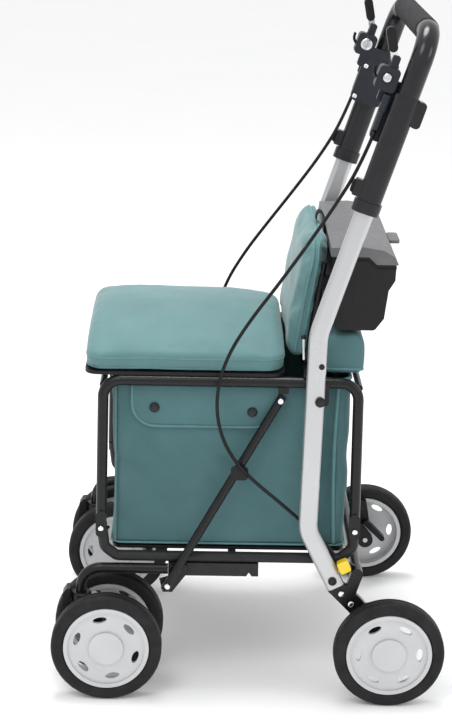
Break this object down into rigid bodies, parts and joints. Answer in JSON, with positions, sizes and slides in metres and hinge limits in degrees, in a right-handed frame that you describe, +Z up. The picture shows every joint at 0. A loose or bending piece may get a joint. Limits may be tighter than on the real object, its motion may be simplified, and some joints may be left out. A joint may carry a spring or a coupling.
{
  "type": "wheeled shopping trolley with seat",
  "caption": "Folding wheeled shopping trolley with padded seat and backrest, open fabric bag, lidded storage box, height-adjustable handle and hand brakes.",
  "frame": {"origin": "on the floor, half way between the rear axle and the front caster axles, on the centre plane", "axes": "+X the way it rolls, +Y its left side, +Z up"},
  "size_m": [0.585, 0.512, 1.0058],
  "materials": {
    "black_steel": "satin black powder coat",
    "silver_tube": "satin silver anodised",
    "lever_metal": "bright pressed aluminium",
    "black_plastic": "moulded black plastic",
    "leg_plastic": "glossy black plastic",
    "housing_plastic": "dark grey glass-filled plastic",
    "box_plastic": "grained black plastic",
    "lid_plastic": "mid grey plastic",
    "tyre": "grey-black solid tyre",
    "rim": "silver-grey moulded plastic",
    "yellow_plastic": "yellow plastic",
    "zinc": "zinc plated",
    "dark_fastener": "black oxide",
    "teal_fabric": "teal coated polyester",
    "black_webbing": "woven black webbing",
    "snap": "dark snap fastener",
    "board": "black board",
    "foam": "charcoal foam sleeve",
    "cable": "black cable sheath"
  },
  "bodies": {
    "front_frame": {"basket_frames": "black_steel", "basket_crossbars": "black_steel", "base_frame": "black_steel", "frame_rivets": "dark_fastener", "base_board": "board", "lower_rails": "black_steel", "diagonal_braces": "black_steel", "brace_feet": "black_steel", "cable_clips": "black_plastic", "caster_arms": "black_steel", "caster_heads": "black_plastic", "caster_locks": "black_plastic", "bag": "teal_fabric", "pocket_flap": "teal_fabric", "flap_snaps": "snap", "rear_cover": "teal_fabric", "backrest_pad": "teal_fabric", "backrest_posts": "black_steel", "backrest_strap": "black_webbing", "storage_box": "box_plastic", "fold_pivots": "dark_fastener"},
    "rear_frame": {"side_tube_left": "silver_tube", "side_tube_right": "silver_tube", "rear_brackets": "black_steel", "rear_crossbar": "black_steel", "tube_screws": "dark_fastener", "rear_axles": "zinc", "brake_cable_left": "cable", "brake_cable_right": "cable"},
    "fold_release": {"fold_button": "yellow_plastic"},
    "handle": {"handle_grip": "foam", "handle_legs": "leg_plastic", "brake_housings": "housing_plastic"},
    "seat": {"seat_board": "board", "seat_pad": "teal_fabric"},
    "box_top": {"box_lid": "lid_plastic"},
    "caster_left": {"caster_fork_left": "black_plastic"},
    "caster_outer_wheel_left": {"caster_outer_tyre_left": "tyre", "caster_outer_rim_left": "rim"},
    "caster_inner_wheel_left": {"caster_inner_tyre_left": "tyre", "caster_inner_rim_left": "rim"},
    "rear_wheel_left": {"rear_tyre_left": "tyre", "rear_rim_left": "rim"},
    "brake_link_left": {"brake_arm_left": "black_plastic"},
    "lever_left": {"brake_lever_left": "lever_metal", "lever_grip_left": "black_plastic"},
    "button_left": {"height_button_left": "black_plastic"},
    "caster_right": {"caster_fork_right": "black_plastic"},
    "caster_outer_wheel_right": {"caster_outer_tyre_right": "tyre", "caster_outer_rim_right": "rim"},
    "caster_inner_wheel_right": {"caster_inner_tyre_right": "tyre", "caster_inner_rim_right": "rim"},
    "rear_wheel_right": {"rear_tyre_right": "tyre", "rear_rim_right": "rim"},
    "brake_link_right": {"brake_arm_right": "black_plastic"},
    "lever_right": {"brake_lever_right": "lever_metal", "lever_grip_right": "black_plastic"},
    "button_right": {"height_button_right": "black_plastic"}
  },
  "joints": [
    {"name": "frame_fold", "type": "hinge", "parent": "front_frame", "child": "rear_frame", "pos_m": [-0.0974, 0, 0.461], "axis": [0, 1, 0], "range_deg": [0, 70], "deforming": ["brake_cable_left", "brake_cable_right"]},
    {"name": "handle_height", "type": "slide", "parent": "rear_frame", "child": "handle", "axis": [-0.309, 0, 0.9511], "range_m": [-0.05, 0.04]},
    {"name": "fold_release_press", "type": "slide", "parent": "rear_frame", "child": "fold_release", "axis": [0, -1, 0], "range_m": [0, 0.0022], "stiffness_N_per_m": 900},
    {"name": "seat_lid", "type": "hinge", "parent": "front_frame", "child": "seat", "pos_m": [-0.052, 0, 0.548], "axis": [0, -1, 0], "range_deg": [0, 70]},
    {"name": "box_lid_hinge", "type": "hinge", "parent": "front_frame", "child": "box_top", "pos_m": [-0.112, 0, 0.676], "axis": [0, 1, 0], "range_deg": [0, 85]},
    {"name": "left_caster_swivel", "type": "hinge", "parent": "front_frame", "child": "caster_left", "pos_m": [0.25, 0.186, 0.135], "axis": [0, 0, 1], "continuous": true},
    {"name": "left_caster_outer_spin", "type": "hinge", "parent": "caster_left", "child": "caster_outer_wheel_left", "pos_m": [0.21, 0.232, 0.0825], "axis": [0, 1, 0], "continuous": true},
    {"name": "left_caster_inner_spin", "type": "hinge", "parent": "caster_left", "child": "caster_inner_wheel_left", "pos_m": [0.21, 0.14, 0.0825], "axis": [0, 1, 0], "continuous": true},
    {"name": "left_rear_spin", "type": "hinge", "parent": "rear_frame", "child": "rear_wheel_left", "pos_m": [-0.21, 0.242, 0.0825], "axis": [0, 1, 0], "continuous": true},
    {"name": "left_brake_link_turn", "type": "hinge", "parent": "rear_frame", "child": "brake_link_left", "pos_m": [-0.203, 0.221, 0.142], "axis": [0, 1, 0], "range_deg": [0, 4]},
    {"name": "left_brake_lever_pull", "type": "hinge", "parent": "handle", "child": "lever_left", "pos_m": [-0.1852, 0.19, 0.9504], "axis": [0, -1, 0], "range_deg": [0, 20], "stiffness_Nm_per_rad": 1},
    {"name": "left_height_button_press", "type": "slide", "parent": "handle", "child": "button_left", "axis": [-0.9511, 0, -0.309], "range_m": [0, 0.0035], "stiffness_N_per_m": 900},
    {"name": "right_caster_swivel", "type": "hinge", "parent": "front_frame", "child": "caster_right", "pos_m": [0.25, -0.186, 0.135], "axis": [0, 0, 1], "continuous": true},
    {"name": "right_caster_outer_spin", "type": "hinge", "parent": "caster_right", "child": "caster_outer_wheel_right", "pos_m": [0.21, -0.232, 0.0825], "axis": [0, 1, 0], "continuous": true},
    {"name": "right_caster_inner_spin", "type": "hinge", "parent": "caster_right", "child": "caster_inner_wheel_right", "pos_m": [0.21, -0.14, 0.0825], "axis": [0, 1, 0], "continuous": true},
    {"name": "right_rear_spin", "type": "hinge", "parent": "rear_frame", "child": "rear_wheel_right", "pos_m": [-0.21, -0.242, 0.0825], "axis": [0, 1, 0], "continuous": true},
    {"name": "right_brake_link_turn", "type": "hinge", "parent": "rear_frame", "child": "brake_link_right", "pos_m": [-0.203, -0.221, 0.142], "axis": [0, 1, 0], "range_deg": [0, 4]},
    {"name": "right_brake_lever_pull", "type": "hinge", "parent": "handle", "child": "lever_right", "pos_m": [-0.1852, -0.19, 0.9504], "axis": [0, -1, 0], "range_deg": [0, 20], "stiffness_Nm_per_rad": 1},
    {"name": "right_height_button_press", "type": "slide", "parent": "handle", "child": "button_right", "axis": [-0.9511, 0, -0.309], "range_m": [0, 0.0035], "stiffness_N_per_m": 900}
  ],
  "couplings": [
    {"joint": "left_brake_link_turn", "follows": "left_brake_lever_pull", "ratio": 0.2},
    {"joint": "right_brake_link_turn", "follows": "right_brake_lever_pull", "ratio": 0.2}
  ]
}
